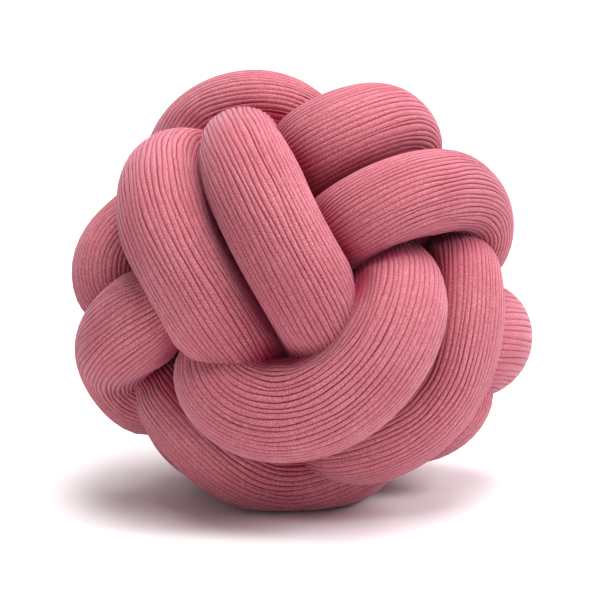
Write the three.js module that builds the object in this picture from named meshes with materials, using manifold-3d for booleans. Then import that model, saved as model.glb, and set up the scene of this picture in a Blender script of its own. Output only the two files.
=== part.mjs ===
// Knot cushion: fat stuffed runs of ribbed knit tied over and under each other into a soft ball.
// Millimetres, +Z up. The origin is the middle of the bounding box's bottom, level with the flat spot.
import * as THREE from "three";
import { mergeVertices } from "three/addons/utils/BufferGeometryUtils.js";
import Module from "manifold-3d";

// Driving dimensions
const FLAT_SPOT_DROP = 131.5; // how far below the ball's centre the flat spot lies
const CORE_RADIUS = 108; // packed middle, hidden under every run
const CORE_DETAIL = 3; // times that the core's twenty faces are divided
const FACE_TILT = THREE.MathUtils.degToRad(8); // how far the ball's face leans back
const STEP = 14; // length of one ring of a run
const SIDES = 26; // sides of a run's round section
const EASE_SPACING = 8; // length between the points that are eased along a centreline
const EASE_PASSES = 14; // rounds of easing, which take out sharp bends
const EASE_SPREAD = 1.035; // easing draws the bends in, so the rows are spread by this much first
const CUT_BLOCK = 500; // edge of the block that cuts the flat spot, wider than the ball
const WELD_DISTANCE = 0.001; // corners closer than this are one corner

// The half turn that carries the runs of the face round to the back.
const HALF_TURN_AXIS = new THREE.Vector3(-0.924, -0.218, 0.311).normalize();

// Centreline of each run. A row is one point of it, in columns [across, up, reach]: across to the
// right and up from the ball's centre as its face is seen, and reach is the distance from the
// centre, negative behind the middle. A run dips to a small reach where it dives under another.
// Each run has a copy on the back: backRadius gives the copy its own radius, and backDraw lays it
// closer in, by that share of its distance from the centre.
const RUNS = {
  leftOuter: { radius: 33, backDraw: 0.93, rows: [
    [-6, -68, 68], [-21, -54, 84], [-35, -36, 96], [-48, -17, 109], [-60, 2, 116], [-71, 19, 119],
    [-78, 39, 118], [-81, 58, 117], [-77, 76, 110], [-59, 78, 98], [-39, 75, 84],
  ] },
  topOuter: { radius: 32.5, rows: [
    [-20, 65, 72], [-2, 77, 92], [18, 89, 110], [42, 99, 116], [60, 98, 115], [64, 77, 100],
    [58, 58, 82],
  ] },
  rightOuter: { radius: 30, rows: [
    [67, 31, 74], [91, 23, 94], [94, 2, 110], [95, -18, 116], [92, -38, 117], [84, -58, 117],
    [71, -74, 117], [50, -86, 117], [29, -92, 113], [9, -89, 98], [-6, -76, 76],
  ] },
  leftInner: { radius: 32, rows: [
    [31, -58, 66], [27, -47, 80], [18, -28, 93], [9, -10, 106], [-3, 9, 116], [-15, 32, 122],
    [-25, 53, 121], [-32, 69, 118], [-37, 82, 108], [-32, 84, 90], [-20, 73, 76],
  ] },
  bottomInner: { radius: 34, rows: [
    [-33, -23, 72], [-48, -33, 92], [-51, -46, 108], [-44, -59, 117], [-26, -70, 120],
    [-1, -69, 121], [21, -59, 121], [42, -39, 121], [53, -19, 120], [56, -5, 112], [53, 2, 92],
    [50, 9, 70],
  ] },
  rightInner: { radius: 28, rows: [
    [2, 17, 68], [13, 27, 84], [28, 40, 106], [48, 52, 117], [68, 60, 119], [95, 62, 119],
    [108, 52, 120], [113, 37, -119], [107, 23, -109], [91, 14, -92],
  ] },
  rightEnd: { radius: 42, backRadius: 32, backDraw: 0.87, rows: [
    [50, -30, 58], [67, -26, 72], [90, -27, 96], [108, -27, -112], [114, -30, -124],
    [90, -32, -114], [60, -30, -100], [20, -21, -76],
  ] },
  rightBack: { radius: 31, rows: [
    [39, -79, -88], [67, -83, -107], [94, -73, -119], [101, -49, -112], [88, -21, -90],
    [100, -1, -100], [86, 18, -88],
  ] },
};

// Runs along the ball's side, which the half turn would lay on themselves, so each is made once.
const SIDE_RUNS = {
  leftSide: { radius: 31, rows: [
    [18, 86, -88], [-1, 105, -106], [-24, 114, 117], [-46, 112, 121], [-62, 105, -122],
    [-74, 92, -118], [-75, 64, -98], [-85, 45, -96], [-114, 31, 118], [-122, 11, 123],
    [-109, -8, 109], [-87, -26, 91], [-83, -51, 97], [-68, -72, 111], [-53, -89, 116],
    [-38, -102, 116], [-20, -110, 116], [-4, -112, 116], [18, -105, 113], [44, -90, -100],
    [57, -67, -88],
  ] },
  leftLobe: { radius: 31, rows: [
    [-42, 16, 72], [-60, 5, 90], [-75, -4, 106], [-91, -12, 116], [-105, -25, 121],
    [-114, -41, 121], [-108, -56, -122], [-97, -68, -118], [-77, -70, -104], [-77, -45, -90],
    [-57, -38, -72],
  ] },
};

// A row's point in the ball's own frame: across, up, and towards whoever faces it.
function rowPoint([across, up, reach]) {
  const towards = Math.sqrt(Math.max(0, reach * reach - across * across - up * up));
  return new THREE.Vector3(across, up, reach < 0 ? -towards : towards).multiplyScalar(EASE_SPREAD);
}

function halfTurned(points, draw) {
  return points.map((point) => point.clone().applyAxisAngle(HALF_TURN_AXIS, Math.PI).multiplyScalar(draw));
}

// A stuffed run can't bend sharply, so each point along its centreline is drawn towards its neighbours.
function easedCurve(points) {
  const rough = new THREE.CatmullRomCurve3(points, false, "centripetal");
  let eased = rough.getSpacedPoints(Math.round(rough.getLength() / EASE_SPACING));
  for (let pass = 0; pass < EASE_PASSES; pass++) {
    eased = eased.map((point, i) => {
      if (i === 0 || i === eased.length - 1) return point;
      const between = new THREE.Vector3().lerpVectors(eased[i - 1], eased[i + 1], 0.5);
      return between.lerp(point, 0.5);
    });
  }
  return new THREE.CatmullRomCurve3(eased, false, "centripetal");
}

// A run is a round section swept along its centreline.
function runGeometry(points, radius) {
  const path = easedCurve(points);
  const steps = Math.round(path.getLength() / STEP);
  const section = new THREE.Shape();
  for (let side = 0; side < SIDES; side++) {
    const angle = (side / SIDES) * 2 * Math.PI;
    const x = radius * Math.cos(angle);
    const y = radius * Math.sin(angle);
    if (side === 0) section.moveTo(x, y);
    else section.lineTo(x, y);
  }
  section.closePath();
  return new THREE.ExtrudeGeometry(section, { steps, extrudePath: path, bevelEnabled: false });
}

const wasm = await Module();
wasm.setup();

function solidOf(geometry) {
  geometry.deleteAttribute("normal");
  geometry.deleteAttribute("uv");
  const merged = mergeVertices(geometry, WELD_DISTANCE);
  return new wasm.Manifold(
    new wasm.Mesh({
      numProp: 3,
      vertProperties: new Float32Array(merged.attributes.position.array),
      triVerts: new Uint32Array(merged.index.array),
    }),
  );
}

// Stands the ball up: its face looks along -Y and leans back.
const standUp = new THREE.Matrix4().makeRotationX(Math.PI / 2 - FACE_TILT);

function knotSolid() {
  const runs = [];
  for (const { radius, rows, backRadius = radius, backDraw = 1 } of Object.values(RUNS)) {
    const points = rows.map(rowPoint);
    runs.push(runGeometry(points, radius), runGeometry(halfTurned(points, backDraw), backRadius));
  }
  for (const { radius, rows } of Object.values(SIDE_RUNS)) {
    runs.push(runGeometry(rows.map(rowPoint), radius));
  }
  let knot = solidOf(new THREE.IcosahedronGeometry(CORE_RADIUS, CORE_DETAIL).applyMatrix4(standUp));
  for (const run of runs) {
    knot = knot.add(solidOf(run.applyMatrix4(standUp)));
  }
  const block = new THREE.BoxGeometry(CUT_BLOCK, CUT_BLOCK, CUT_BLOCK);
  block.translate(0, 0, -FLAT_SPOT_DROP - CUT_BLOCK / 2);
  return knot.subtract(solidOf(block));
}

function meshOf(solid, name, material) {
  const { vertProperties, triVerts } = solid.getMesh();
  const geometry = new THREE.BufferGeometry();
  geometry.setAttribute("position", new THREE.BufferAttribute(vertProperties, 3));
  geometry.setIndex(new THREE.BufferAttribute(triVerts, 1));
  geometry.computeVertexNormals();
  geometry.computeBoundingBox();
  const { min, max } = geometry.boundingBox;
  const mesh = new THREE.Mesh(geometry, material);
  mesh.name = name;
  mesh.position.set(-(min.x + max.x) / 2, -(min.y + max.y) / 2, -min.z); // bottom centre on the origin
  return mesh;
}

const ribKnit = new THREE.MeshStandardMaterial({ color: 0xd0707f, roughness: 0.95, metalness: 0 });

const group = new THREE.Group();
group.add(meshOf(knotSolid(), "knot_ball", ribKnit));
export default group;
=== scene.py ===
# Knot cushion: thick stuffed runs of ribbed knit, tied over and under each other into a ball.
import math

import bmesh
import bpy
import numpy as np
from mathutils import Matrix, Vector, noise


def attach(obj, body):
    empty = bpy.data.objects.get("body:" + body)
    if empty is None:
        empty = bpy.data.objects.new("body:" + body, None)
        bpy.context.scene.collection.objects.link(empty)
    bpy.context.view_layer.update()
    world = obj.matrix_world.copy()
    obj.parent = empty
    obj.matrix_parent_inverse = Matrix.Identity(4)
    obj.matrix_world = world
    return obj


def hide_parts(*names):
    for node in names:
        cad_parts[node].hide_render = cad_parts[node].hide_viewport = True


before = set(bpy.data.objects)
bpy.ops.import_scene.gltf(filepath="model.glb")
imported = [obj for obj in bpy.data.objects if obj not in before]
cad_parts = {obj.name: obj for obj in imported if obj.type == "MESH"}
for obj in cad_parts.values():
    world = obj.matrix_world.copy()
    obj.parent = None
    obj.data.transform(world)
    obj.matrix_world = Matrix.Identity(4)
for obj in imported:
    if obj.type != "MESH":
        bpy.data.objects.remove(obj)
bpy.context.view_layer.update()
print("frame loaded")

mm = 0.001

ball = {
    "centreHeight": 131.5 * mm,  # the flat spot is this far below the ball's centre
    "lean": math.radians(8),  # the face leans back by this much
    "halfTurnAxis": (-0.924, -0.218, 0.311),  # carries the runs of the face round to the back
    "curveSteps": 24,  # fine steps between two points of a curve
    "easeSpacing": 8 * mm,  # length between the points that are eased along a centreline
    "easePasses": 14,  # rounds of easing, which take out sharp bends
    "easeSpread": 1.035,  # easing draws the bends in, so the rows are spread by this much first
    "floorGive": 6 * mm,  # below this height the filling gives way to the floor
    "middleRadius": 94 * mm,  # packed filling that closes the gaps between the runs
    "middleDetail": 5,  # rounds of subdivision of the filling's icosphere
}

# Each run has its radius and the rows of its centreline, [across, up, reach], in millimetres from
# the ball's centre as its face is seen. Reach is the distance from the centre, negative behind it.
runs = {
    "leftOuter": (33, [
        [-6, -68, 68], [-21, -54, 84], [-35, -36, 96], [-48, -17, 109], [-60, 2, 116],
        [-71, 19, 119], [-78, 39, 118], [-81, 58, 117], [-77, 76, 110], [-59, 78, 98],
        [-39, 75, 84]]),
    "topOuter": (32.5, [
        [-20, 65, 72], [-2, 77, 92], [18, 89, 110], [42, 99, 116], [60, 98, 115], [64, 77, 100],
        [58, 58, 82]]),
    "rightOuter": (30, [
        [67, 31, 74], [91, 23, 94], [94, 2, 110], [95, -18, 116], [92, -38, 117],
        [84, -58, 117], [71, -74, 117], [50, -86, 117], [29, -92, 113], [9, -89, 98],
        [-6, -76, 76]]),
    "leftInner": (32, [
        [31, -58, 66], [27, -47, 80], [18, -28, 93], [9, -10, 106], [-3, 9, 116], [-15, 32, 122],
        [-25, 53, 121], [-32, 69, 118], [-37, 82, 108], [-32, 84, 90], [-20, 73, 76]]),
    "bottomInner": (34, [
        [-33, -23, 72], [-48, -33, 92], [-51, -46, 108], [-44, -59, 117], [-26, -70, 120],
        [-1, -69, 121], [21, -59, 121], [42, -39, 121], [53, -19, 120], [56, -5, 112],
        [53, 2, 92], [50, 9, 70]]),
    "rightInner": (28, [
        [2, 17, 68], [13, 27, 84], [28, 40, 106], [48, 52, 117], [68, 60, 119], [95, 62, 119],
        [108, 52, 120], [113, 37, -119], [107, 23, -109], [91, 14, -92]]),
    "rightEnd": (42, [
        [50, -30, 58], [67, -26, 72], [90, -27, 96], [108, -27, -112], [114, -30, -124],
        [90, -32, -114], [60, -30, -100], [20, -21, -76]]),
    "rightBack": (31, [
        [39, -79, -88], [67, -83, -107], [94, -73, -119], [101, -49, -112], [88, -21, -90],
        [100, -1, -100], [86, 18, -88]]),
}

backDraw = {"leftOuter": 0.93, "rightEnd": 0.87}  # copies that lie closer in on the back
backRadius = {"rightEnd": 32}  # copies that are thinner than the run they come from

sideRuns = {  # made once, because the half turn would lay them on themselves
    "leftSide": (31, [
        [18, 86, -88], [-1, 105, -106], [-24, 114, 117], [-46, 112, 121], [-62, 105, -122],
        [-74, 92, -118], [-75, 64, -98], [-85, 45, -96], [-114, 31, 118], [-122, 11, 123],
        [-109, -8, 109], [-87, -26, 91], [-83, -51, 97], [-68, -72, 111], [-53, -89, 116],
        [-38, -102, 116], [-20, -110, 116], [-4, -112, 116], [18, -105, 113], [44, -90, -100],
        [57, -67, -88]]),
    "leftLobe": (31, [
        [-42, 16, 72], [-60, 5, 90], [-75, -4, 106], [-91, -12, 116], [-105, -25, 121],
        [-114, -41, 121], [-108, -56, -122], [-97, -68, -118], [-77, -70, -104],
        [-77, -45, -90], [-57, -38, -72]]),
}


def rowPoint(row):
    across, up, reach = row
    towards = math.sqrt(max(0, reach * reach - across * across - up * up))
    point = np.array((across, up, -towards if reach < 0 else towards))
    return point * mm * ball["easeSpread"]


def halfTurned(points):
    axis = np.array(ball["halfTurnAxis"])
    axis = axis / np.linalg.norm(axis)
    return 2 * (points @ axis)[:, None] * axis - points


def throughPoints(points, spacing):
    # centripetal Catmull-Rom curve, cut at even lengths
    ends = (2 * points[0] - points[1], 2 * points[-1] - points[-2])
    around = np.vstack([ends[0], points, ends[1]])
    fine = []
    for p0, p1, p2, p3 in zip(around, around[1:], around[2:], around[3:]):
        t1 = np.linalg.norm(p1 - p0) ** 0.5
        t2 = t1 + np.linalg.norm(p2 - p1) ** 0.5
        t3 = t2 + np.linalg.norm(p3 - p2) ** 0.5
        t = np.linspace(t1, t2, ball["curveSteps"], endpoint=False)[:, None]
        a1 = ((t1 - t) * p0 + t * p1) / t1
        a2 = ((t2 - t) * p1 + (t - t1) * p2) / (t2 - t1)
        a3 = ((t3 - t) * p2 + (t - t2) * p3) / (t3 - t2)
        b1 = ((t2 - t) * a1 + t * a2) / t2
        b2 = ((t3 - t) * a2 + (t - t1) * a3) / (t3 - t1)
        fine.append(((t2 - t) * b1 + (t - t1) * b2) / (t2 - t1))
    fine = np.vstack(fine + [points[-1:]])
    run = np.concatenate([[0], np.cumsum(np.linalg.norm(np.diff(fine, axis=0), axis=1))])
    even = np.linspace(0, run[-1], round(run[-1] / spacing) + 1)
    return np.stack([np.interp(even, run, fine[:, k]) for k in range(3)], 1)


def easedLine(points):
    # a stuffed run can't bend sharply, so its points are drawn towards their neighbours
    eased = throughPoints(points, ball["easeSpacing"])
    for _ in range(ball["easePasses"]):
        eased[1:-1] = (eased[:-2] + 2 * eased[1:-1] + eased[2:]) / 4
    return throughPoints(eased, rib["ringStep"])


def allLines():
    lines = {}
    for name, (radius, rows) in runs.items():
        points = np.array([rowPoint(row) for row in rows])
        turned = halfTurned(points) * backDraw.get(name, 1)
        lines[name] = (easedLine(points), radius * mm)
        lines[name + "Back"] = (easedLine(turned), backRadius.get(name, radius) * mm)
    for name, (radius, rows) in sideRuns.items():
        lines[name] = (easedLine(np.array([rowPoint(row) for row in rows])), radius * mm)
    return lines


rib = {
    "around": 60,  # ribs round one run
    "columns": (0.0, 0.15, 0.5, 0.85),  # where the mesh columns of one rib stand
    "valley": (1.0, 0.22, 0.0, 0.22),  # share of the groove's depth at each column
    "depth": 1.0 * mm,
    "ringStep": 3.6 * mm,  # length between two rings of the mesh
    "twist": math.radians(10),  # how far the ribs turn round the run halfway along it
    "wander": 0.55,  # how far a rib strays sideways, in ribs
    "wanderLength": 28 * mm,  # length along the run over which it strays and its groove changes
    "wanderRound": 7,  # strays differ more from rib to rib as this grows
    "strength": 0.95,  # mean strength of a groove, then its spread and what an inner bend adds
    "strengthSpread": 0.6,
    "strengthInBend": 0.5,
    "strengthRange": (0.4, 1.7),
    "strengthPerRib": 1.7,  # step from one groove to the next in the noise of the strength
    "strengthShift": 3.1,  # keeps this noise apart from the strays
    "swell": 0.035,  # soft unevenness of the filling, as a part of the radius
    "swellLength": 60 * mm,
    "swellRound": 0.9,
    "swellShift": 7,  # keeps this noise apart from the strays
    "seedStep": 3.7,  # keeps the noise of one run apart from the next
}


def headingAlong(line):
    heading = np.gradient(line, axis=0)
    return heading / np.linalg.norm(heading, axis=1)[:, None]


def alongFrames(line):
    # one side direction for each ring, turned as little as the line allows
    heading = headingAlong(line)
    side = line[0] - heading[0] * (line[0] @ heading[0])
    sides = []
    for direction in heading:
        side = side - direction * (side @ direction)
        side = side / np.linalg.norm(side)
        sides.append(side)
    sides = np.array(sides)
    return sides, np.cross(heading, sides)


def outwards(frames, angle):
    # directions straight out from the centreline, at angles round it
    side, across = frames
    return np.cos(angle)[..., None] * side[:, None, :] + np.sin(angle)[..., None] * across[:, None, :]


def softNoise(x, y, z):
    return noise.noise(Vector((x, y, z)))


def shareBetweenRibs(values):
    # values at the grooves, carried across the columns between them
    nextRib = np.roll(values, -1, axis=1)
    spread = [(1 - share) * values + share * nextRib for share in rib["columns"]]
    return np.stack(spread, -1).reshape(len(values), -1)


def grooveShare(values):
    # each column takes the value of the groove that it is nearest to
    nextRib = np.roll(values, -1, axis=1)
    spread = [nextRib if share > 0.5 else values for share in rib["columns"]]
    return np.stack(spread, -1).reshape(len(values), -1)


def ribNoise(line, seed):
    # how each groove strays, how deep it is, and how the filling swells under it
    count = rib["around"]
    wanderRound, swellRound = rib["wanderRound"], rib["swellRound"]
    stray, deep, swell = np.zeros((3, len(line), count))
    for i in range(len(line)):
        s = i * rib["ringStep"]
        wanderAlong = s / rib["wanderLength"]
        swellAlong = s / rib["swellLength"]
        for k in range(count):
            turn = k / count * 2 * math.pi
            cx, cy = math.cos(turn), math.sin(turn)
            stray[i, k] = softNoise(cx * wanderRound + seed, cy * wanderRound, wanderAlong)
            deep[i, k] = softNoise(k * rib["strengthPerRib"] + seed, rib["strengthShift"], wanderAlong)
            swell[i, k] = softNoise(
                cx * swellRound + seed, cy * swellRound + rib["swellShift"], swellAlong)
    return stray, deep, swell


press = {
    "depth": 4.0 * mm,  # how far a run gives way where a neighbour presses on it
    "dentFade": 7 * mm,  # how far from the neighbour the dent fades out
    "overlap": 6 * mm,  # the painted crease shade is darkest where a neighbour overlaps by this much or more
    "touchShadeFade": 3 * mm,  # how fast the painted crease shade fades with less overlap
    "nearShadeFade": 12 * mm,  # how far from the neighbour the painted shade of closeness fades out
    "shadeTop": 134 * mm,  # what lies farther than this from the ball's centre stays unshaded
    "shadeFall": 14 * mm,  # the shading is full this much nearer to the centre
    "everyRing": 2,  # step between the rings of a neighbour that are measured to
}


def clearance(line, radius, frames, others):
    # distance from each groove of the run to the nearest neighbour's surface
    turn = np.arange(rib["around"]) / rib["around"] * 2 * np.pi
    places = (line[:, None, :] + outwards(frames, turn) * radius).reshape(-1, 3)
    nearest = np.full(len(places), np.inf)
    for otherLine, otherRadius in others:
        between = places[:, None, :] - otherLine[None, :: press["everyRing"], :]
        nearest = np.minimum(nearest, np.linalg.norm(between, axis=2).min(1) - otherRadius)
    return nearest.reshape(len(line), rib["around"])


def fadeFrom(distance, length):
    return shareBetweenRibs(np.exp(-np.maximum(distance, 0) / length))


def runMesh(line, radius, seed, others):
    frames = alongFrames(line)
    along = np.arange(len(line)) * rib["ringStep"]
    phase = (np.arange(rib["around"])[:, None] + np.array(rib["columns"])).ravel()
    stray, deep, swell = ribNoise(line, seed)
    twist = rib["twist"] * np.sin(along / along[-1] * np.pi)[:, None]
    angle = (phase + rib["wander"] * shareBetweenRibs(stray)) * 2 * np.pi / rib["around"] + twist
    out = outwards(frames, angle)
    bend = np.gradient(headingAlong(line), axis=0) / rib["ringStep"] * radius
    inside = np.einsum("ik,ijk->ij", bend, out)  # above 0 on the inner side of a bend
    strength = rib["strength"] + rib["strengthSpread"] * grooveShare(deep)
    strength = np.clip(strength + rib["strengthInBend"] * inside, *rib["strengthRange"])
    apart = clearance(line, radius, frames, others)
    size = radius * (1 + rib["swell"] * shareBetweenRibs(swell))
    size = size - press["depth"] * fadeFrom(apart, press["dentFade"])
    size = size - rib["depth"] * strength * np.tile(rib["valley"], rib["around"])
    reach = np.linalg.norm(line[:, None, :] + radius * out, axis=2)
    deepIn = np.clip((press["shadeTop"] - reach) / press["shadeFall"], 0, 1)
    return {
        "places": line[:, None, :] + size[:, :, None] * out,
        "along": along,
        "phase": phase,
        "strength": strength,
        # painted crease shade where a neighbour touches, only deep in the ball
        "touchShade": fadeFrom(apart + press["overlap"], press["touchShadeFade"]) * deepIn,
        # painted shade where a neighbour lies close, only deep in the ball
        "nearShade": fadeFrom(apart, press["nearShadeFade"]) * deepIn,
    }


def stoodUp(places):
    # from the face's frame (across, up, towards) to the ball's place above the floor
    tilt = math.pi / 2 - ball["lean"]
    turned = np.empty_like(places)
    turned[..., 0] = places[..., 0]
    turned[..., 1] = places[..., 1] * math.cos(tilt) - places[..., 2] * math.sin(tilt)
    turned[..., 2] = places[..., 1] * math.sin(tilt) + places[..., 2] * math.cos(tilt)
    turned[..., 2] += ball["centreHeight"]
    return turned


def pressedOnFloor(places):
    # what would sink into the floor spreads on it
    give = ball["floorGive"]
    height = places[..., 2]
    places[..., 2] = np.where(height < give, give * np.exp(np.minimum(height / give - 1, 0)), height)
    return places


surfaceValues = ("strength", "touchShade", "nearShade")  # what the knit's material reads at each corner


def addValues(mesh, key, values):
    layer = mesh.attributes.new(key, "FLOAT", "POINT")
    layer.data.foreach_set("value", values)


def addRibMap(mesh, run, rings, columns):
    # along the run one way, once round it the other way
    along = run["along"]
    nextPhase = np.append(run["phase"][1:], rib["around"])
    i = np.repeat(np.arange(rings - 1), columns)
    u = np.stack([along[i], along[i], along[i + 1], along[i + 1]], -1)
    low = np.tile(run["phase"], rings - 1)
    high = np.tile(nextPhase, rings - 1)
    v = np.stack([low, high, high, low], -1) / rib["around"]
    uv = np.zeros((len(mesh.loops), 2))
    uv[: u.size] = np.stack([u.ravel(), v.ravel()], -1)
    mesh.uv_layers.new(name="ribs").data.foreach_set("uv", uv.ravel())


def addPiece(name, mesh, material):
    mesh.shade_smooth()
    piece = bpy.data.objects.new(name, mesh)
    bpy.context.scene.collection.objects.link(piece)
    piece.data.materials.append(material)
    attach(piece, "root")
    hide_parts("knot_ball")


def addRun(name, run, material):
    places = run["places"]
    rings, columns = places.shape[:2]
    index = np.arange(rings * columns).reshape(rings, columns)
    nextColumn = np.roll(index, -1, axis=1)
    quads = np.stack([index[:-1], nextColumn[:-1], nextColumn[1:], index[1:]], -1).reshape(-1, 4)
    ends = [index[0][::-1].tolist(), index[-1].tolist()]
    mesh = bpy.data.meshes.new(name)
    mesh.from_pydata(places.reshape(-1, 3).tolist(), [], quads.tolist() + ends)
    addRibMap(mesh, run, rings, columns)
    for key in surfaceValues:
        addValues(mesh, key, run[key].ravel())
    addPiece(name, mesh, material)


def addPackedMiddle(centre, material):
    # hidden but for the deepest gaps between the runs
    mesh = bpy.data.meshes.new("packedMiddle")
    bm = bmesh.new()
    bmesh.ops.create_icosphere(bm, subdivisions=ball["middleDetail"], radius=ball["middleRadius"])
    bmesh.ops.translate(bm, verts=bm.verts, vec=centre)
    bm.to_mesh(mesh)
    bm.free()
    # painted shade: the filling takes every painted shade at full strength, so it shows dark in the
    # gaps
    for key in surfaceValues:
        addValues(mesh, key, np.ones(len(mesh.vertices)))
    addPiece("packedMiddle", mesh, material)


class Sock:
    # wraps a socket, so that shader maths reads as Python expressions
    def __init__(self, tree, socket):
        self.tree = tree
        self.socket = socket

    def maths(self, operation, *values):
        node = self.tree.nodes.new("ShaderNodeMath")
        node.operation = operation
        for slotIn, value in zip(node.inputs, values):
            if isinstance(value, Sock):
                self.tree.links.new(value.socket, slotIn)
            else:
                slotIn.default_value = value
        return Sock(self.tree, node.outputs[0])

    def __add__(self, other):
        return self.maths("ADD", self, other)

    def __radd__(self, other):
        return self.maths("ADD", other, self)

    def __sub__(self, other):
        return self.maths("SUBTRACT", self, other)

    def __rsub__(self, other):
        return self.maths("SUBTRACT", other, self)

    def __mul__(self, other):
        return self.maths("MULTIPLY", self, other)

    def __rmul__(self, other):
        return self.maths("MULTIPLY", other, self)

    def __truediv__(self, other):
        return self.maths("DIVIDE", self, other)

    def __rtruediv__(self, other):
        return self.maths("DIVIDE", other, self)

    def __pow__(self, other):
        return self.maths("POWER", self, other)

    def __rpow__(self, other):
        return self.maths("POWER", other, self)

    def sine(self):
        return self.maths("SINE", self)

    def size(self):
        return self.maths("ABSOLUTE", self)

    def held(self):
        return self.maths("MINIMUM", self.maths("MAXIMUM", self, 0.0), 1.0)


class Shader:
    def __init__(self, name):
        self.material = bpy.data.materials.new(name)
        self.material.use_nodes = True
        self.tree = self.material.node_tree
        self.tree.nodes.clear()

    def node(self, kind, settings=None, values=None):
        made = self.tree.nodes.new(kind)
        for key, value in (settings or {}).items():
            setattr(made, key, value)
        for key, value in (values or {}).items():
            target = made.inputs[key]
            if isinstance(value, Sock):
                self.tree.links.new(value.socket, target)
            else:
                target.default_value = value
        return made

    def out(self, node, key=0):
        return Sock(self.tree, node.outputs[key])

    def mix(self, factor, first, second):
        node = self.node("ShaderNodeMix", {"data_type": "RGBA"}, {0: factor, 6: first, 7: second})
        return self.out(node, 2)

    def surface(self, values):
        made = self.node("ShaderNodeBsdfPrincipled", values=values)
        self.node("ShaderNodeOutputMaterial", values={"Surface": self.out(made)})
        return self.material


knit = {
    "ribTop": (0.43, 0.122, 0.152, 1),
    "ribFaded": (0.61, 0.26, 0.30, 1),
    "ribDusky": (0.30, 0.054, 0.078, 1),
    "ribShaded": (0.33, 0.010, 0.052, 1),  # painted shade where a neighbour lies close
    "shadedShare": 0.8,  # how much of that painted shade shows where it is strongest
    # painted shade along the grooves between the ribs
    "groove": (0.22, 0.009, 0.022, 1),
    "crease": (0.30, 0.003, 0.050, 1),  # painted crease shade where a neighbour touches
    "creaseShadeShare": 0.8,
    "fuzzGrain": (1300.0, 2.0),  # scale and detail of the yarn's finest grain
    "mottleGrain": (120.0, 4.0),
    "blotchGrain": (16.0, 3.0),
    "fadedBlotch": (0.45, 2.2, 0.4),  # level of the grain, contrast, share
    "fadedMottle": (0.50, 3.0, 0.25),
    "fadedFuzz": (0.50, 6.0, 0.6),
    "duskyBlotch": (0.50, 2.4, 0.4),
    "duskyFuzz": (0.50, 6.0, 0.6),
    "stitchLength": 1.5 * mm,
    "stitchLean": 1.5,  # how far a row of stitches bows between two grooves
    "grooveWidth": 0.165,  # half width of the painted groove shade, in ribs
    "grooveDrift": (0.22, 0.10),  # how far mottle and fuzz shift the painted groove shade
    "lineLeast": 0.30,  # how dark the painted groove shade is, and what the groove's strength and the stitches add
    "lineByStrength": 0.90,
    "lineByStitch": 0.20,
    "lineMottle": (0.60, 0.9),  # the line's share where the mottle is lowest, and what the mottle adds
    "ribRoundness": 0.5,  # below 1 the rib's top is flatter and its flanks are steeper
    "ribRelief": 0.4,  # shares of the relief that the light picks out
    "stitchRelief": 0.03,
    "fuzzRelief": 0.55,
    "mottleRelief": 0.2,
    "reliefStrength": 0.6,
    "reliefHeight": 1.1 * mm,  # height that a full share of relief stands for
    "roughness": 0.8,
    "specular": 0.10,
    "sheen": 0.5,
    "sheenRoughness": 0.3,
    "sheenTint": (1.0, 0.72, 0.90, 1),
}


def over(grain, patch):
    # a share of colour where the grain lies above its level
    level, contrast, share = patch
    return ((grain - level) * contrast).held() * share


def under(grain, patch):
    # the same where the grain lies below it
    level, contrast, share = patch
    return ((level - grain) * contrast).held() * share


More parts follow.
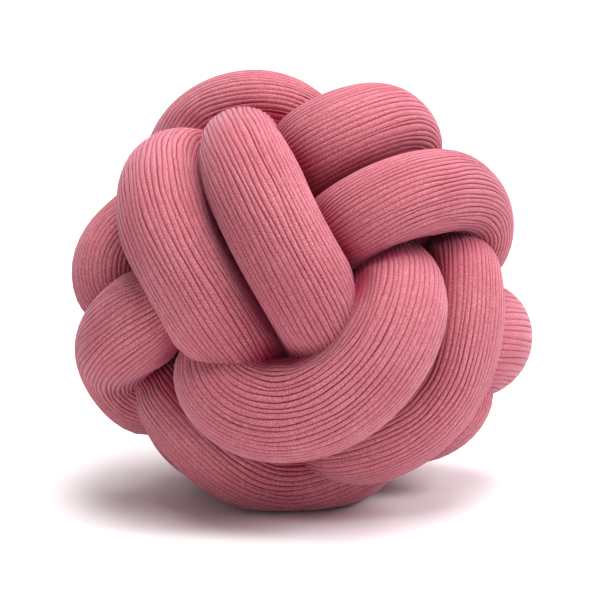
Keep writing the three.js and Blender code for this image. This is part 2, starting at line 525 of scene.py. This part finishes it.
def knitMaterial():
    shader = Shader("ribKnit")
    uv = shader.out(shader.node("ShaderNodeUVMap", {"uv_map": "ribs"}))
    parts = shader.node("ShaderNodeSeparateXYZ", values={0: uv})
    along = shader.out(parts, 0)
    phase = shader.out(parts, 1) * float(rib["around"])
    place = shader.out(shader.node("ShaderNodeTexCoord"), "Object")

    def surfaceValue(key):
        return shader.out(shader.node("ShaderNodeAttribute", {"attribute_name": key}), "Fac")

    def grain(scale, detail):
        return shader.out(shader.node(
            "ShaderNodeTexNoise", values={"Vector": place, "Scale": scale, "Detail": detail}))

    strength, touchShade, nearShade = [surfaceValue(key) for key in surfaceValues]
    fuzz = grain(*knit["fuzzGrain"])
    mottle = grain(*knit["mottleGrain"])
    blotch = grain(*knit["blotchGrain"])

    mottleDrift, fuzzDrift = knit["grooveDrift"]
    drift = (mottle - 0.5) * mottleDrift + (fuzz - 0.5) * fuzzDrift
    fromGroove = ((phase + drift) * math.pi).sine().size()  # 0 in the groove, 1 on the rib's top
    line = 1 - (fromGroove / (knit["grooveWidth"] * math.pi)).held()
    bow = (phase * 2 * math.pi).sine() * knit["stitchLean"]
    stitch = (along * (2 * math.pi / knit["stitchLength"]) + bow).sine()
    drawn = strength * knit["lineByStrength"] + knit["lineLeast"] + stitch * knit["lineByStitch"]
    least, spread = knit["lineMottle"]
    grooveShadeMask = (line * drawn * (least + mottle * spread)).held()

    faded = over(blotch, knit["fadedBlotch"]) + over(mottle, knit["fadedMottle"])
    faded = faded + over(fuzz, knit["fadedFuzz"])
    dusky = under(blotch, knit["duskyBlotch"]) + under(fuzz, knit["duskyFuzz"])
    colour = shader.mix(faded.held(), knit["ribTop"], knit["ribFaded"])
    colour = shader.mix(dusky.held(), colour, knit["ribDusky"])
    # painted shade where a neighbour lies close
    colour = shader.mix((nearShade * knit["shadedShare"]).held(), colour, knit["ribShaded"])
    # painted shade along the grooves between the ribs
    colour = shader.mix(grooveShadeMask, colour, knit["groove"])
    # painted crease shade where neighbours touch
    colour = shader.mix((touchShade * knit["creaseShadeShare"]).held(), colour, knit["crease"])

    relief = fromGroove ** knit["ribRoundness"] * knit["ribRelief"] * strength
    relief = relief + stitch * knit["stitchRelief"] + fuzz * knit["fuzzRelief"]
    relief = relief + mottle * knit["mottleRelief"]
    bump = shader.node("ShaderNodeBump", values={
        "Height": relief,
        "Strength": knit["reliefStrength"],
        "Distance": knit["reliefHeight"],
    })
    return shader.surface({
        "Base Color": colour,
        "Roughness": knit["roughness"],
        "Specular IOR Level": knit["specular"],
        "Sheen Weight": knit["sheen"],
        "Sheen Roughness": knit["sheenRoughness"],
        "Sheen Tint": knit["sheenTint"],
        "Normal": shader.out(bump),
    })


def buildRuns():
    material = knitMaterial()
    lines = allLines()
    made = {}
    for count, (name, (line, radius)) in enumerate(lines.items()):
        others = [lines[other] for other in lines if other != name]
        made[name] = runMesh(line, radius, count * rib["seedStep"], others)
        made[name]["places"] = stoodUp(made[name]["places"])
    low = np.min([run["places"].reshape(-1, 3).min(0) for run in made.values()], axis=0)
    high = np.max([run["places"].reshape(-1, 3).max(0) for run in made.values()], axis=0)
    shift = np.array((-(low[0] + high[0]) / 2, -(low[1] + high[1]) / 2, 0))
    for name, run in made.items():
        run["places"] = pressedOnFloor(run["places"] + shift)
        addRun(name, run, material)
    centre = shift + np.array((0, 0, ball["centreHeight"]))
    addPackedMiddle(centre, material)
    return centre


camera = {
    "distance": 1.30,
    "elevation": math.radians(8),
    "viewWidth": 0.3936,  # width of the view at the ball's centre
    "aimAcross": -1.0 * mm,  # the camera looks this far beside the ball's centre
    "aimUp": -4.3 * mm,
    "sensorWidth": 36,  # millimetres, as the camera takes it
    "clipStart": 0.05,
}


def placeCamera(centre):
    lens = bpy.data.cameras.new("camera")
    lens.sensor_width = camera["sensorWidth"]
    lens.lens = camera["sensorWidth"] * camera["distance"] / camera["viewWidth"]
    lens.clip_start = camera["clipStart"]
    eye = bpy.data.objects.new("camera", lens)
    bpy.context.scene.collection.objects.link(eye)
    elevation = camera["elevation"]
    up = Vector((0, math.sin(elevation), math.cos(elevation)))
    back = Vector((0, -math.cos(elevation), math.sin(elevation)))
    aim = Vector(centre) + Vector((camera["aimAcross"], 0, 0)) + up * camera["aimUp"]
    eye.location = aim + back * camera["distance"]
    eye.rotation_euler = (math.pi / 2 - elevation, 0, 0)
    bpy.context.scene.camera = eye


stage = {
    "halfWidth": 3.0,
    "wallStart": 1.6,  # where the floor begins to bend up behind the ball
    "bendRadius": 0.8,
    "bendSteps": 12,
    "wallTop": 3.2,
    "colour": (0.88, 0.88, 0.88, 1),
    "roughness": 0.9,
}


def buildStage():
    start, radius, steps = stage["wallStart"], stage["bendRadius"], stage["bendSteps"]
    profile = [(-stage["halfWidth"], 0.0), (start, 0.0)]
    for k in range(1, steps + 1):
        turn = math.radians(90 * k / steps)
        profile.append((start + radius * math.sin(turn), radius - radius * math.cos(turn)))
    profile.append((start + radius, stage["wallTop"]))
    mesh = bpy.data.meshes.new("floor")
    bm = bmesh.new()
    left = [bm.verts.new((-stage["halfWidth"], y, z)) for y, z in profile]
    right = [bm.verts.new((stage["halfWidth"], y, z)) for y, z in profile]
    for k in range(len(profile) - 1):
        face = bm.faces.new((left[k], right[k], right[k + 1], left[k + 1]))
        face.smooth = True
    bm.to_mesh(mesh)
    bm.free()
    floor = bpy.data.objects.new("floor", mesh)
    bpy.context.scene.collection.objects.link(floor)
    paleFloor = Shader("paleFloor").surface({
        "Base Color": stage["colour"],
        "Roughness": stage["roughness"],
    })
    floor.data.materials.append(paleFloor)


atBall = (0, 0, ball["centreHeight"])
atWall = (0, 2.4, 0.9)

light = {
    # name: place, aim, size, power, colour
    "keyLight": ((0.25, -0.70, 2.1), atBall, 1.1, 33, (1.0, 0.98, 0.97)),
    "topLight": ((0.2, 0.2, 2.4), atBall, 1.4, 28, (1.0, 1.0, 1.0)),
    "lowFill": ((-0.2, -1.8, 0.25), atBall, 1.2, 3.5, (1.0, 0.97, 0.97)),
    "rightLight": ((1.7, -0.5, 1.6), atBall, 1.0, 34, (1.0, 0.96, 1.0)),
    "backdropLight": ((0, 0.9, 2.6), atWall, 2.0, 60, (1.0, 1.0, 1.0)),
}

surroundings = {
    "colour": (1.0, 0.85, 0.91, 1),
    "strength": 0.24,
}


def buildLights():
    world = bpy.data.worlds.new("studio")
    world.use_nodes = True
    background = world.node_tree.nodes["Background"]
    background.inputs["Color"].default_value = surroundings["colour"]
    background.inputs["Strength"].default_value = surroundings["strength"]
    bpy.context.scene.world = world
    for name, (place, aim, size, power, colour) in light.items():
        area = bpy.data.lights.new(name, "AREA")
        area.size = size
        area.energy = power
        area.color = colour
        lamp = bpy.data.objects.new(name, area)
        lamp.location = place
        lamp.rotation_euler = (Vector(aim) - Vector(place)).to_track_quat("-Z", "Y").to_euler()
        bpy.context.scene.collection.objects.link(lamp)
    bpy.context.scene.view_settings.view_transform = "Standard"


centre = buildRuns()
print("runs made")
placeCamera(centre)
buildStage()
buildLights()
print("stage and lights made")
